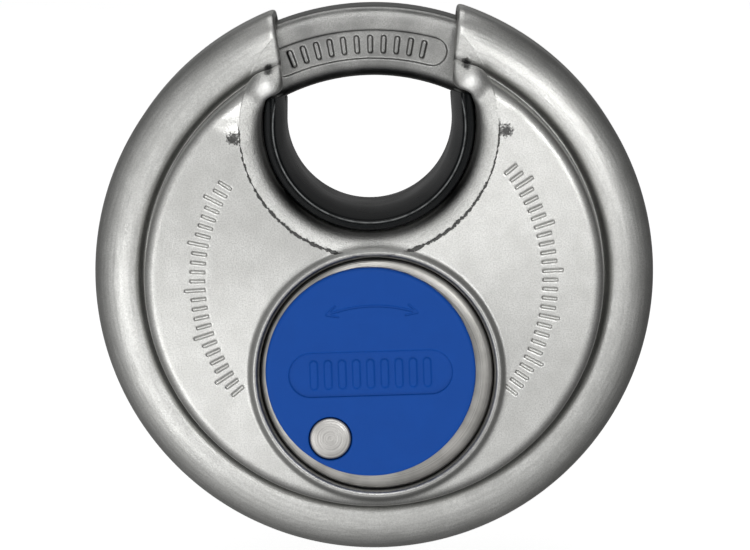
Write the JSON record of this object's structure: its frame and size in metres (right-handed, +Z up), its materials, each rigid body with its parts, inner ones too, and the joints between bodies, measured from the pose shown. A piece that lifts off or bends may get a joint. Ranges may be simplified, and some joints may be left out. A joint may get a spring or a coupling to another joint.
{
  "type": "disc padlock",
  "caption": "Round steel padlock whose short curved bar swings across a window at the top, with a swivelling cover over the keyway.",
  "frame": {"origin": "centre of the flat rear face, on the disc's axis", "axes": "+Z up towards the shackle, -Y out of the front face, +X to the right seen from the front"},
  "size_m": [0.06, 0.0231, 0.0587],
  "materials": {
    "shell_steel": "fine bead-blasted stainless sheet, soft satin sheen",
    "bar_steel": "satin hardened stainless bar",
    "liner_plastic": "smooth black moulded plastic",
    "cover_plastic": "fine-grained blue moulded plastic",
    "rivet_steel": "spun warm grey steel",
    "cylinder_nickel": "turned nickel-plated brass",
    "lock_brass": "machined brass",
    "frame_zinc": "die-cast zinc",
    "hard_steel": "ground hardened steel",
    "spring_steel": "drawn spring steel"
  },
  "bodies": {
    "body": {"front_shell": "shell_steel", "rear_shell": "shell_steel", "window_liner": "liner_plastic", "inner_frame": "frame_zinc", "cylinder_housing": "cylinder_nickel", "pin_cover_strip": "cylinder_nickel", "cover_rivet": "rivet_steel", "wave_washer": "spring_steel", "driver_pin_1": "lock_brass", "driver_pin_2": "lock_brass", "driver_pin_3": "lock_brass", "driver_pin_4": "lock_brass", "driver_pin_5": "lock_brass", "pin_spring_1": "spring_steel", "pin_spring_2": "spring_steel", "pin_spring_3": "spring_steel", "pin_spring_4": "spring_steel", "pin_spring_5": "spring_steel"},
    "shackle": {"shackle": "bar_steel"},
    "plug": {"plug": "lock_brass", "drill_guard": "hard_steel", "driver_cam": "hard_steel", "cam_clip": "spring_steel", "key_pin_1": "lock_brass", "key_pin_2": "lock_brass", "key_pin_3": "lock_brass", "key_pin_4": "lock_brass", "key_pin_5": "lock_brass"},
    "cover": {"keyway_cover": "cover_plastic"}
  },
  "joints": [
    {"name": "shackle_swing", "type": "hinge", "parent": "body", "child": "shackle", "pos_m": [0, -0.0104, 0], "axis": [0, -1, 0], "range_deg": [0, 70]},
    {"name": "plug_turn", "type": "hinge", "parent": "body", "child": "plug", "pos_m": [0, -0.0104, -0.01], "axis": [0, -1, 0], "range_deg": [0, 119]},
    {"name": "cover_swing", "type": "hinge", "parent": "body", "child": "cover", "pos_m": [-0.00512, -0.0222, -0.01643], "axis": [0, -1, 0], "range_deg": [-135, 135]}
  ],
  "couplings": [
    {"joint": "plug_turn", "follows": "shackle_swing", "ratio": 1.7}
  ]
}
